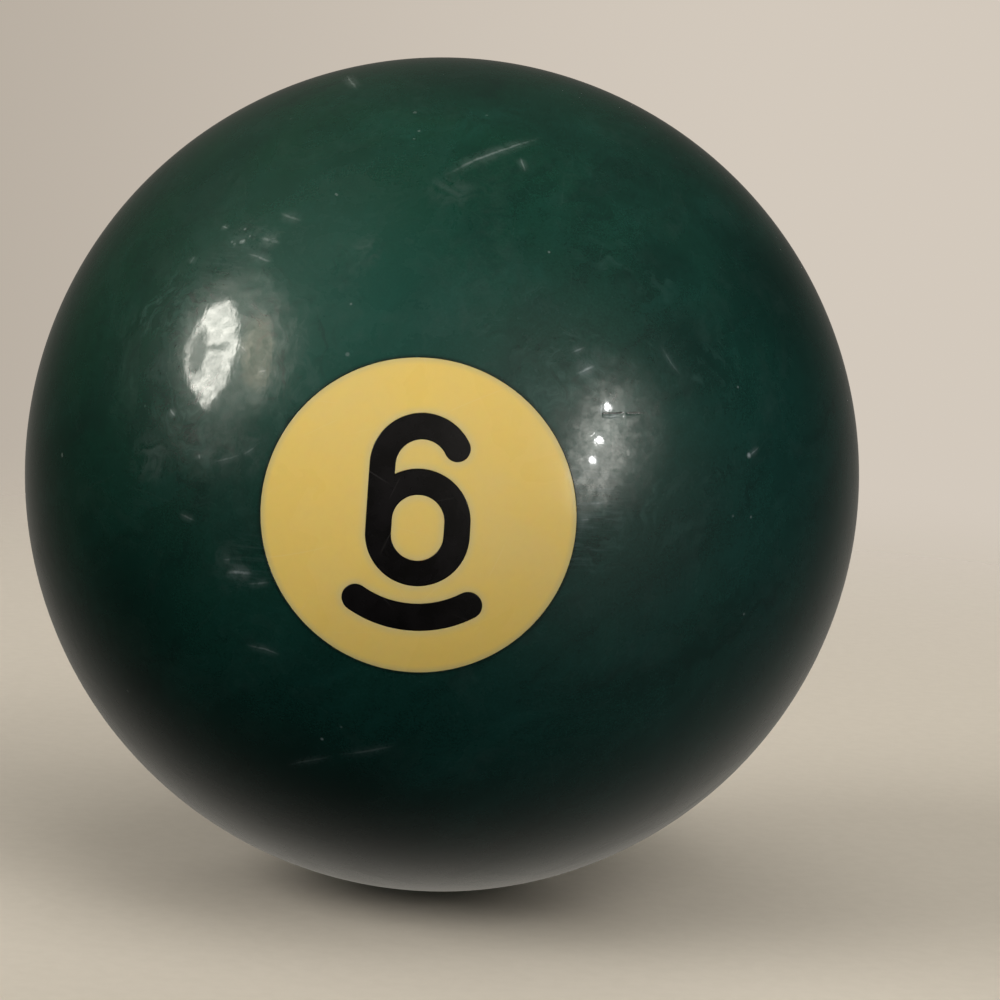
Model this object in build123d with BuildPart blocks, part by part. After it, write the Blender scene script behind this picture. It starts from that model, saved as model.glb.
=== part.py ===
from build123d import *
import os
from math import sqrt

os.makedirs("parts", exist_ok=True)

# ----------------------------------------------------------------------------
# Numbered pool ball, two and a quarter inch class, number six.
# Origin at the ball's centre, +Z up. The front number faces -Y and reads
# upright towards +Z. The back number is the front one turned half a turn
# about X, so of the two numbers one is always upside down to the other.
# ----------------------------------------------------------------------------

# Ball
BALL_DIAMETER = 57.15          # two and a quarter inches
BALL_RADIUS = BALL_DIAMETER / 2

# Number spot, a round plug let into the body
SPOT_DIAMETER = 19.05          # three quarters of an inch, a third of the ball
SPOT_RADIUS = SPOT_DIAMETER / 2
SPOT_DEPTH = 6.0               # from the crown of the ball to the plug's seat
SPOT_CORNER = 0.5              # corner radius at the bottom of the seat

# Number and underline, filled into recesses in the plug
FILL_DEPTH = 2.0               # from the crown of the ball to the recess floor
STROKE = 1.56                  # stroke width of the six
SIX_RADIUS = 2.35              # centreline radius of the bowl and of the top arc
SIX_CENTRE_X = 0.10
BOWL_LOW_Z = -0.97             # centre of the bowl's lower half circle
BOWL_HIGH_Z = -0.15            # centre of the bowl's upper half circle
TOP_ARC_Z = 3.15               # centre of the top arc
TOP_ARC_END = 29.0             # degrees above the horizontal where the arc ends

BAR_STROKE = 1.70              # stroke width of the underline
BAR_RADIUS = 6.58              # centreline radius of the underline's curve
BAR_CENTRE_X = 0.0
BAR_CENTRE_Z = 0.55
BAR_HALF_ANGLE = 31.0          # degrees each side of straight down

# Derived
SEAT_Y = BALL_RADIUS - SPOT_DEPTH
FLOOR_Y = BALL_RADIUS - FILL_DEPTH
RIM_Y = sqrt(BALL_RADIUS**2 - SPOT_RADIUS**2)
BOWL_MID_Z = (BOWL_LOW_Z + BOWL_HIGH_Z) / 2
CUT_HEIGHT = FILL_DEPTH + 2.0  # reaches clear of the ball's surface

# Floors of the recesses: local x is right and local y is up as the number reads
FRONT = Plane(origin=(0, -FLOOR_Y, 0), x_dir=(1, 0, 0), z_dir=(0, -1, 0))
BACK = Plane(origin=(0, FLOOR_Y, 0), x_dir=(1, 0, 0), z_dir=(0, 1, 0))


# ----------------------------------------------------------------------------
# Outlines of the six and of its underline, used for the recesses and the fills
# ----------------------------------------------------------------------------
with BuildSketch() as six:
    with BuildLine(mode=Mode.PRIVATE) as top_arc:
        CenterArc((SIX_CENTRE_X, TOP_ARC_Z), SIX_RADIUS, TOP_ARC_END, 180 - TOP_ARC_END)
    # bowl: a ring with short straight sides
    with Locations((SIX_CENTRE_X, BOWL_MID_Z)):
        SlotCenterToCenter(BOWL_HIGH_Z - BOWL_LOW_Z, 2 * SIX_RADIUS + STROKE, rotation=90)
        SlotCenterToCenter(BOWL_HIGH_Z - BOWL_LOW_Z, 2 * SIX_RADIUS - STROKE, rotation=90,
                           mode=Mode.SUBTRACT)
    # stem up the left side
    with Locations((SIX_CENTRE_X - SIX_RADIUS, (BOWL_MID_Z + TOP_ARC_Z) / 2)):
        Rectangle(STROKE, TOP_ARC_Z - BOWL_MID_Z)
    # hook over the top, with a round end
    SlotArc(top_arc.wires()[0], STROKE)

with BuildSketch() as underline:
    with BuildLine(mode=Mode.PRIVATE) as bar_arc:
        CenterArc((BAR_CENTRE_X, BAR_CENTRE_Z), BAR_RADIUS, 270 - BAR_HALF_ANGLE, 2 * BAR_HALF_ANGLE)
    SlotArc(bar_arc.wires()[0], BAR_STROKE)


# ----------------------------------------------------------------------------
# Body: one solid cast sphere with a blind flat-bottomed seat at each end of Y
# ----------------------------------------------------------------------------
with BuildPart() as ball_body:
    with BuildSketch(Plane.XY):
        with BuildLine():
            Line((0, -SEAT_Y), (SPOT_RADIUS - SPOT_CORNER, -SEAT_Y))
            RadiusArc((SPOT_RADIUS - SPOT_CORNER, -SEAT_Y),
                      (SPOT_RADIUS, -SEAT_Y - SPOT_CORNER), SPOT_CORNER)
            Line((SPOT_RADIUS, -SEAT_Y - SPOT_CORNER), (SPOT_RADIUS, -RIM_Y))
            ThreePointArc((SPOT_RADIUS, -RIM_Y), (BALL_RADIUS, 0), (SPOT_RADIUS, RIM_Y))
            Line((SPOT_RADIUS, RIM_Y), (SPOT_RADIUS, SEAT_Y + SPOT_CORNER))
            RadiusArc((SPOT_RADIUS, SEAT_Y + SPOT_CORNER),
                      (SPOT_RADIUS - SPOT_CORNER, SEAT_Y), SPOT_CORNER)
            Line((SPOT_RADIUS - SPOT_CORNER, SEAT_Y), (0, SEAT_Y))
            Line((0, SEAT_Y), (0, -SEAT_Y))
        make_face()
    revolve(axis=Axis.Y)
ball_body.part.label = "ball_body"
export_step(ball_body.part, "parts/ball_body.step")


# ----------------------------------------------------------------------------
# Number spots: plugs that fill the seats, crowned flush with the ball, each
# with a recess for the number and one for the underline
# ----------------------------------------------------------------------------
with BuildPart() as number_spot_front:
    with BuildSketch(Plane.XY):
        with BuildLine():
            Line((0, -SEAT_Y), (SPOT_RADIUS - SPOT_CORNER, -SEAT_Y))
            RadiusArc((SPOT_RADIUS - SPOT_CORNER, -SEAT_Y),
                      (SPOT_RADIUS, -SEAT_Y - SPOT_CORNER), SPOT_CORNER)
            Line((SPOT_RADIUS, -SEAT_Y - SPOT_CORNER), (SPOT_RADIUS, -RIM_Y))
            RadiusArc((SPOT_RADIUS, -RIM_Y), (0, -BALL_RADIUS), BALL_RADIUS)
            Line((0, -BALL_RADIUS), (0, -SEAT_Y))
        make_face()
    revolve(axis=Axis.Y)
    with BuildSketch(FRONT):
        add(six.sketch)
        add(underline.sketch)
    extrude(amount=CUT_HEIGHT, mode=Mode.SUBTRACT)
number_spot_front.part.label = "number_spot_front"
export_step(number_spot_front.part, "parts/number_spot_front.step")

with BuildPart() as number_spot_back:
    with BuildSketch(Plane.XY):
        with BuildLine():
            Line((0, SEAT_Y), (SPOT_RADIUS - SPOT_CORNER, SEAT_Y))
            RadiusArc((SPOT_RADIUS - SPOT_CORNER, SEAT_Y),
                      (SPOT_RADIUS, SEAT_Y + SPOT_CORNER), -SPOT_CORNER)
            Line((SPOT_RADIUS, SEAT_Y + SPOT_CORNER), (SPOT_RADIUS, RIM_Y))
            RadiusArc((SPOT_RADIUS, RIM_Y), (0, BALL_RADIUS), -BALL_RADIUS)
            Line((0, BALL_RADIUS), (0, SEAT_Y))
        make_face()
    revolve(axis=Axis.Y)
    with BuildSketch(BACK):
        add(six.sketch)
        add(underline.sketch)
    extrude(amount=CUT_HEIGHT, mode=Mode.SUBTRACT)
number_spot_back.part.label = "number_spot_back"
export_step(number_spot_back.part, "parts/number_spot_back.step")


# ----------------------------------------------------------------------------
# Numbers: the fills of the six, flat at the recess floor, crowned outside
# ----------------------------------------------------------------------------
with BuildPart() as numeral_front:
    with BuildSketch(FRONT):
        add(six.sketch)
    extrude(amount=CUT_HEIGHT)
    Sphere(BALL_RADIUS, mode=Mode.INTERSECT)
numeral_front.part.label = "numeral_front"
export_step(numeral_front.part, "parts/numeral_front.step")

with BuildPart() as numeral_back:
    with BuildSketch(BACK):
        add(six.sketch)
    extrude(amount=CUT_HEIGHT)
    Sphere(BALL_RADIUS, mode=Mode.INTERSECT)
numeral_back.part.label = "numeral_back"
export_step(numeral_back.part, "parts/numeral_back.step")


# ----------------------------------------------------------------------------
# Underlines: the fills of the curved bars that tell a six from a nine
# ----------------------------------------------------------------------------
with BuildPart() as underline_front:
    with BuildSketch(FRONT):
        add(underline.sketch)
    extrude(amount=CUT_HEIGHT)
    Sphere(BALL_RADIUS, mode=Mode.INTERSECT)
underline_front.part.label = "underline_front"
export_step(underline_front.part, "parts/underline_front.step")

with BuildPart() as underline_back:
    with BuildSketch(BACK):
        add(underline.sketch)
    extrude(amount=CUT_HEIGHT)
    Sphere(BALL_RADIUS, mode=Mode.INTERSECT)
underline_back.part.label = "underline_back"
export_step(underline_back.part, "parts/underline_back.step")
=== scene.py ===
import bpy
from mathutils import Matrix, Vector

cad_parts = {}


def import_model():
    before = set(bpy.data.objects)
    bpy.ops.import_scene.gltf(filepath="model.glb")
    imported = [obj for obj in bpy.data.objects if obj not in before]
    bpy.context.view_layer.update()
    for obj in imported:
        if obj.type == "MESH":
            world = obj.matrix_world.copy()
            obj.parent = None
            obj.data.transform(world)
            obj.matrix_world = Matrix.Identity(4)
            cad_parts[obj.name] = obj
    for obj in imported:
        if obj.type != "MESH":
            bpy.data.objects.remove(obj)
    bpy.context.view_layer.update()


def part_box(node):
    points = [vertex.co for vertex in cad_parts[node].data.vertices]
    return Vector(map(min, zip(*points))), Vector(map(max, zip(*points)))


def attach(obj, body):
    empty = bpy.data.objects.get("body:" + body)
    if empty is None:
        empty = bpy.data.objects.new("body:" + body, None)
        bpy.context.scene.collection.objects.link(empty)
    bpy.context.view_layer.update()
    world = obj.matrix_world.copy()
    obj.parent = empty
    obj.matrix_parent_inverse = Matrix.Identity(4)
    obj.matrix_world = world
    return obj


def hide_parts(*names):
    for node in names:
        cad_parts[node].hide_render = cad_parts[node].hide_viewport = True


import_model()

import math

import bpy
from mathutils import Matrix, Vector
from mathutils.geometry import delaunay_2d_cdt

# ---------------------------------------------------------------------------
# Dimensions, in millimetres, as in the CAD model. Meshes are built in
# millimetres and written in metres.
# ---------------------------------------------------------------------------
MM = 0.001
BALL_R = 28.575
SPOT_R = 9.525
SEAT_Y = BALL_R - 6.0
SEAT_CORNER = 0.5
FLOOR_Y = BALL_R - 2.0

STROKE = 1.56
SIX_R = 2.35
SIX_X = 0.10
BOWL_LOW = -0.97
BOWL_HIGH = -0.15
TOP_ARC_Z = 3.15
TOP_ARC_END = 29.0
BAR_STROKE = 1.70
BAR_R = 6.58
BAR_Z = 0.55
BAR_HALF = 31.0

EDGE = 0.035          # rounding of every joint edge that polishing leaves
AROUND = 256          # vertices round the ball's Y axis

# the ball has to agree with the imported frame
lo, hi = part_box("ball_body")
assert abs(hi.x / MM - BALL_R) < 0.3 and abs(lo.x / MM + BALL_R) < 0.3


# ---------------------------------------------------------------------------
# Outlines of the six and its underline, in the plane of the number
# (x right, z up), each point with its outward normal
# ---------------------------------------------------------------------------
def arc(cx, cz, r, a0, a1, step=0.11):
    """Points on an arc, with normals away from its centre, without the last."""
    n = max(2, int(round(abs(math.radians(a1 - a0)) * r / step)))
    out = []
    for i in range(n):
        a = math.radians(a0 + (a1 - a0) * i / n)
        out.append((cx + r * math.cos(a), cz + r * math.sin(a), math.cos(a), math.sin(a)))
    return out


def line(x0, z0, x1, z1, nx, nz, step=0.11):
    n = max(1, int(round(math.hypot(x1 - x0, z1 - z0) / step)))
    return [(x0 + (x1 - x0) * i / n, z0 + (z1 - z0) * i / n, nx, nz) for i in range(n)]


def flip(points):
    return [(x, z, -nx, -nz) for x, z, nx, nz in points]


def six_outline():
    """The six's outer outline, clockwise from the low left of the stem."""
    h = STROKE / 2
    ro, ri = SIX_R + h, SIX_R - h
    left = SIX_X - ro
    p = line(left, BOWL_LOW, left, TOP_ARC_Z, -1, 0)
    p += arc(SIX_X, TOP_ARC_Z, ro, 180, TOP_ARC_END)
    e = math.radians(TOP_ARC_END)
    p += arc(SIX_X + SIX_R * math.cos(e), TOP_ARC_Z + SIX_R * math.sin(e), h,
             TOP_ARC_END, TOP_ARC_END - 180)
    p += flip(arc(SIX_X, TOP_ARC_Z, ri, TOP_ARC_END, 180))
    # down the inside of the stem to the notch over the bowl
    notch_z = BOWL_HIGH + math.sqrt(ro * ro - ri * ri)
    notch_a = math.degrees(math.atan2(notch_z - BOWL_HIGH, -ri))
    p += line(SIX_X - ri, TOP_ARC_Z, SIX_X - ri, notch_z, 1, 0)
    # the notch's own corner: the mitre of the two sides' normals
    m = Vector((1.0, 0.0)) + Vector((math.cos(math.radians(notch_a)), math.sin(math.radians(notch_a))))
    m /= 1.0 + math.cos(math.radians(notch_a))
    p.append((SIX_X - ri, notch_z, m.x, m.y))
    p += arc(SIX_X, BOWL_HIGH, ro, notch_a, 0)[1:]
    p += line(SIX_X + ro, BOWL_HIGH, SIX_X + ro, BOWL_LOW, 1, 0)
    p += arc(SIX_X, BOWL_LOW, ro, 0, -180)
    return p


def six_eye():
    """The hole in the six's bowl. Its normals point into the hole."""
    ri = SIX_R - STROKE / 2
    p = arc(SIX_X, BOWL_HIGH, ri, 0, 180)
    p += line(SIX_X - ri, BOWL_HIGH, SIX_X - ri, BOWL_LOW, -1, 0)
    p += arc(SIX_X, BOWL_LOW, ri, 180, 360)
    p += line(SIX_X + ri, BOWL_LOW, SIX_X + ri, BOWL_HIGH, 1, 0)
    return flip(p)


def bar_outline():
    h = BAR_STROKE / 2
    a0, a1 = 270 - BAR_HALF, 270 + BAR_HALF
    ends = [(BAR_R * math.cos(math.radians(a)), BAR_Z + BAR_R * math.sin(math.radians(a)))
            for a in (a0, a1)]
    p = arc(0, BAR_Z, BAR_R + h, a0, a1)
    p += arc(ends[1][0], ends[1][1], h, a1, a1 + 180)
    p += flip(arc(0, BAR_Z, BAR_R - h, a1, a0))
    p += arc(ends[0][0], ends[0][1], h, a0 + 180, a0 + 360)
    return p


SIX_OUT, SIX_EYE, BAR_OUT = six_outline(), six_eye(), bar_outline()


def inside(x, z, loop):
    hit = False
    j = len(loop) - 1
    for i in range(len(loop)):
        xi, zi = loop[i][0], loop[i][1]
        xj, zj = loop[j][0], loop[j][1]
        if (zi > z) != (zj > z) and x < (xj - xi) * (z - zi) / (zj - zi) + xi:
            hit = not hit
        j = i
    return hit


def stroke_distance(x, z):
    """Distance from the nearest edge of the black, in mm, outside positive."""
    def seg(ax, az, bx, bz):
        dx, dz = bx - ax, bz - az
        t = max(0.0, min(1.0, ((x - ax) * dx + (z - az) * dz) / (dx * dx + dz * dz)))
        return math.hypot(x - ax - t * dx, z - az - t * dz)

    def bow(cx, cz, r, a0, a1):
        a = math.degrees(math.atan2(z - cz, x - cx))
        half, mid = (a1 - a0) / 2, (a0 + a1) / 2
        if abs((a - mid + 180) % 360 - 180) <= half:
            return abs(math.hypot(x - cx, z - cz) - r)
        return min(math.hypot(x - cx - r * math.cos(math.radians(b)), z - cz - r * math.sin(math.radians(b)))
                   for b in (a0, a1))

    left = SIX_X - SIX_R
    six = min(bow(SIX_X, BOWL_HIGH, SIX_R, 0, 180), bow(SIX_X, BOWL_LOW, SIX_R, 180, 360),
              seg(SIX_X + SIX_R, BOWL_LOW, SIX_X + SIX_R, BOWL_HIGH),
              seg(left, BOWL_LOW, left, TOP_ARC_Z),
              bow(SIX_X, TOP_ARC_Z, SIX_R, TOP_ARC_END, 180)) - STROKE / 2
    bar = bow(0, BAR_Z, BAR_R, 270 - BAR_HALF, 270 + BAR_HALF) - BAR_STROKE / 2
    return min(six, bar)


# ---------------------------------------------------------------------------
# Mesh building. Everything is made for the front number, with the number's
# plane in (x, z) and depth along -y, and turned half a turn about X for the
# back one.
# ---------------------------------------------------------------------------
class Shell:
    """Vertices with their exact normals, and faces."""

    def __init__(self):
        self.v, self.n, self.f = [], [], []

    def ring(self, points):
        """Adds (position, normal) pairs and returns their indices."""
        start = len(self.v)
        for p, n in points:
            self.v.append(p)
            self.n.append(n)
        return list(range(start, len(self.v)))

    def strip(self, a, b, turn=False):
        """Quads between two closed rings of the same length."""
        k = len(a)
        for i in range(k):
            j = (i + 1) % k
            q = (a[i], a[j], b[j], b[i])
            self.f.append(q[::-1] if turn else q)


def triangulate(loops, spacing, clear):
    """Triangles of the region inside an odd number of the loops, with a hexagonal grid of points inside it."""
    verts, edges = [], []
    for loop in loops:
        s = len(verts)
        verts += [Vector((p[0], p[1])) for p in loop]
        edges += [(s + i, s + (i + 1) % len(loop)) for i in range(len(loop))]
    boundary = len(verts)
    xs = [v.x for v in verts]
    zs = [v.y for v in verts]
    cells = {}
    for v in verts:
        cells.setdefault((int(v.x // clear), int(v.y // clear)), []).append(v)

    def near(x, z):
        cx, cz = int(x // clear), int(z // clear)
        return any((v.x - x) ** 2 + (v.y - z) ** 2 < clear * clear
                   for i in (-1, 0, 1) for j in (-1, 0, 1) for v in cells.get((cx + i, cz + j), ()))

    row, z = 0, min(zs)
    while z < max(zs):
        x = min(xs) + (spacing / 2 if row % 2 else 0)
        while x < max(xs):
            if not near(x, z) and sum(inside(x, z, l) for l in loops) % 2:
                verts.append(Vector((x, z)))
            x += spacing
        row += 1
        z += spacing * math.sqrt(3) / 2
    out_v, _, out_f, _, _, _ = delaunay_2d_cdt(verts, edges, [], 0, 1e-7)
    assert len(out_v) == len(verts) and (out_v[boundary - 1] - verts[boundary - 1]).length < 1e-6
    faces = []
    for f in out_f:
        cx = sum(out_v[i].x for i in f) / 3
        cz = sum(out_v[i].y for i in f) / 3
        if sum(inside(cx, cz, l) for l in loops) % 2:
            a, b, c = f
            area = ((out_v[b].x - out_v[a].x) * (out_v[c].y - out_v[a].y)
                    - (out_v[b].y - out_v[a].y) * (out_v[c].x - out_v[a].x))
            faces.append((a, b, c) if area > 0 else (a, c, b))
    return [(v.x, v.y) for v in out_v], faces


def on_ball(x, z, r=BALL_R):
    return Vector((x, -math.sqrt(r * r - x * x - z * z), z))


def rounded_edge(loop, side):
    """The joint edge of a filled outline. side is +1 for the plug round it and -1 for the fill in it.
    Returns rings of (position, normal) from the crown down to the wall."""
    rings = [[] for _ in range(4)]
    for x, z, nx, nz in loop:
        c2 = Vector((x + side * EDGE * nx, z + side * EDGE * nz))
        yc = -math.sqrt((BALL_R - EDGE) ** 2 - c2.length_squared)
        c = Vector((c2.x, yc, c2.y))
        up = c.normalized()
        flat = Vector((nx, 0, nz)).normalized()
        wall = -flat * side
        reach = math.hypot(nx, nz)
        for k in range(4):
            t = k / 3 * math.pi / 2
            n = (up * math.cos(t) + wall * math.sin(t)).normalized()
            if k == 3:
                p = Vector((x, yc, z))
                n = wall
            else:
                p = c + n * EDGE * (1.0 if k == 0 else 1.0 + (reach - 1.0) * math.sin(t))
            rings[k].append((p, n))
    return rings


def add_region(shell, loops_rings, loops_plan, depth_y, spacing, clear, extra_crown=()):
    """Crown over the region of the loops, and the walls and flat floor under it are added by the caller."""
    pts, faces = triangulate(loops_plan, spacing, clear)
    index = []
    known = [i for ring in loops_rings for i in ring]
    for k, (x, z) in enumerate(pts):
        if k < len(known):
            index.append(known[k])
        else:
            p = on_ball(x, z)
            shell.v.append(p)
            shell.n.append(p.normalized())
            index.append(len(shell.v) - 1)
    for a, b, c in faces:
        shell.f.append((index[a], index[b], index[c]))


def flat_region(shell, rings, y, normal, spacing, clear):
    """A flat face at y over the region of the rings, which are already in the shell at that y."""
    loops = [[(shell.v[i].x, shell.v[i].z) for i in r] for r in rings]
    pts, faces = triangulate(loops, spacing, clear)
    known = [i for r in rings for i in r]
    index = []
    for k, (x, z) in enumerate(pts):
        if k < len(known):
            index.append(known[k])
        else:
            shell.v.append(Vector((x, y, z)))
            shell.n.append(Vector(normal))
            index.append(len(shell.v) - 1)
    for a, b, c in faces:
        f = (index[a], index[b], index[c])
        shell.f.append(f if normal[1] < 0 else f[::-1])


def copy_ring(shell, ring, y=None, normal=None):
    pts = []
    for i in ring:
        p = shell.v[i].copy()
        if y is not None:
            p.y = y
        pts.append((p, Vector(normal) if normal else shell.n[i].copy()))
    return shell.ring(pts)


def fill_shell(loops):
    """A black fill: crowned top, rounded edge, straight walls, flat floor."""
    s = Shell()
    tops, floors = [], []
    for loop in loops:
        rings = [s.ring(r) for r in rounded_edge(loop, -1)]
        for a, b in zip(rings, rings[1:]):
            s.strip(a, b)
        bottom = copy_ring(s, rings[-1], -FLOOR_Y)
        s.strip(rings[-1], bottom)
        tops.append(rings[0])
        floors.append(bottom)
    plan = [[(s.v[i].x, s.v[i].z) for i in r] for r in tops]
    add_region(s, tops, plan, -FLOOR_Y, 0.26, 0.15)
    flat_region(s, floors, -FLOOR_Y, (0, 1, 0), 0.6, 0.4)
    return s


def circle_ring(r, y, normal):
    out = []
    for i in range(AROUND):
        a = 2 * math.pi * i / AROUND
        c, d = math.cos(a), math.sin(a)
        out.append((Vector((r * c, y, r * d)), Vector((normal[0] * c, normal[1], normal[0] * d)).normalized()))
    return out


def plug_shell():
    """A number spot: crowned top with the recesses cut in it, rounded rim, side wall, corner radius, seat face."""
    s = Shell()
    # rim, from the crown outwards and down
    rc = SPOT_R - EDGE
    yc = -math.sqrt((BALL_R - EDGE) ** 2 - rc * rc)
    nr, ny = rc / (BALL_R - EDGE), yc / (BALL_R - EDGE)
    start = math.atan2(nr, -ny)
    rim = []
    for k in range(4):
        t = start + (math.pi / 2 - start) * k / 3
        rim.append(s.ring(circle_ring(rc + EDGE * math.sin(t), yc - EDGE * math.cos(t), (math.sin(t), -math.cos(t)))))
    wall = [s.ring(circle_ring(SPOT_R, y, (1, 0))) for y in (-25.6, -24.3, -SEAT_Y - SEAT_CORNER)]
    corner = []
    for k in range(1, 4):
        t = k / 3 * math.pi / 2
        corner.append(s.ring(circle_ring(SPOT_R - SEAT_CORNER + SEAT_CORNER * math.cos(t),
                                         -SEAT_Y - SEAT_CORNER + SEAT_CORNER * math.sin(t),
                                         (math.cos(t), math.sin(t)))))
    rings = rim + wall + corner
    for a, b in zip(rings, rings[1:]):
        s.strip(a, b, turn=True)
    inner = rings[-1]
    for r in (8.0, 5.5, 3.0):
        nxt = s.ring(circle_ring(r, -SEAT_Y, (0, 1)))
        s.strip(inner, nxt, turn=True)
        inner = nxt
    s.v.append(Vector((0, -SEAT_Y, 0)))
    s.n.append(Vector((0, 1, 0)))
    hub = len(s.v) - 1
    for i in range(AROUND):
        s.f.append((inner[(i + 1) % AROUND], inner[i], hub))
    # recesses
    tops = [rim[0]]
    for group in ([SIX_OUT, SIX_EYE], [BAR_OUT]):
        floors = []
        for loop in group:
            edge = [s.ring(r) for r in rounded_edge(loop, +1)]
            for a, b in zip(edge, edge[1:]):
                s.strip(a, b, turn=True)
            bottom = copy_ring(s, edge[-1], -FLOOR_Y)
            s.strip(edge[-1], bottom, turn=True)
            tops.append(edge[0])
            floors.append(bottom)
        flat_region(s, floors, -FLOOR_Y, (0, -1, 0), 0.6, 0.4)
    plan = [[(s.v[i].x, s.v[i].z) for i in r] for r in tops]
    add_region(s, tops, plan, -FLOOR_Y, 0.34, 0.2)
    return s


def body_shell():
    """The green body: a sphere with a seat in each end of Y."""
    s = Shell()
    half = []
    # seat at -Y, from the middle of its floor outwards
    for r in (3.0, 5.5, 8.0):
        half.append((r, -SEAT_Y, (0, -1)))
    for k in range(4):
        t = k / 3 * math.pi / 2
        half.append((SPOT_R - SEAT_CORNER + SEAT_CORNER * math.sin(t),
                     -SEAT_Y - SEAT_CORNER + SEAT_CORNER * math.cos(t), (-math.sin(t), -math.cos(t))))
    for y in (-24.3, -25.6):
        half.append((SPOT_R, y, (-1, 0)))
    rc = SPOT_R + EDGE
    yc = -math.sqrt((BALL_R - EDGE) ** 2 - rc * rc)
    end = math.atan2(rc, -yc)
    for k in range(4):
        t = -math.pi / 2 + (end + math.pi / 2) * k / 3
        half.append((rc + EDGE * math.sin(t), yc - EDGE * math.cos(t), (math.sin(t), -math.cos(t))))
    steps = 104
    mid = []
    for k in range(1, steps):
        t = end + (math.pi - 2 * end) * k / steps
        mid.append((BALL_R * math.sin(t), -BALL_R * math.cos(t), (math.sin(t), -math.cos(t))))
    back = [(r, -y, (n[0], -n[1])) for r, y, n in reversed(half)]
    rings = [s.ring(circle_ring(*p)) for p in half + mid + back]
    for a, b in zip(rings, rings[1:]):
        s.strip(a, b, turn=True)
    for ring, y, n, order in ((rings[0], -SEAT_Y, -1, 1), (rings[-1], SEAT_Y, 1, -1)):
        s.v.append(Vector((0, y, 0)))
        s.n.append(Vector((0, n, 0)))
        hub = len(s.v) - 1
        for i in range(AROUND):
            f = (ring[i], ring[(i + 1) % AROUND], hub)
            s.f.append(f if order > 0 else f[::-1])
    return s


def turned(s):
    """The same shell for the back number: half a turn about X."""
    t = Shell()
    t.v = [Vector((v.x, -v.y, -v.z)) for v in s.v]
    t.n = [Vector((n.x, -n.y, -n.z)) for n in s.n]
    t.f = list(s.f)
    return t


def wind(s):
    """Turns every face the way that its vertices' normals point."""
    out = []
    for f in s.f:
        a, b, c = s.v[f[0]], s.v[f[1]], s.v[f[2]]
        flat = (b - a).cross(c - a)
        if len(f) == 4:
            flat += (c - a).cross(s.v[f[3]] - a)
        out.append(f if flat.dot(sum((s.n[i] for i in f), Vector())) >= 0 else f[::-1])
    s.f = out


def make_piece(name, shell, node, material, distances=False):
    wind(shell)
    me = bpy.data.meshes.new(name)
    me.from_pydata([v * MM for v in shell.v], [], shell.f)
    me.polygons.foreach_set("use_smooth", [True] * len(me.polygons))
    me.update()
    if distances:
        a = me.attributes.new("edge_mm", "FLOAT", "POINT")
        sign = 1 if shell.v[0].y < 0 else -1
        a.data.foreach_set("value", [stroke_distance(v.x, v.z * sign) for v in shell.v])
    me.normals_split_custom_set_from_vertices([tuple(n) for n in shell.n])
    me.materials.append(material)
    o = bpy.data.objects.new(name, me)
    bpy.context.scene.collection.objects.link(o)
    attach(o, "root")
    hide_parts(node)
    return o


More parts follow.
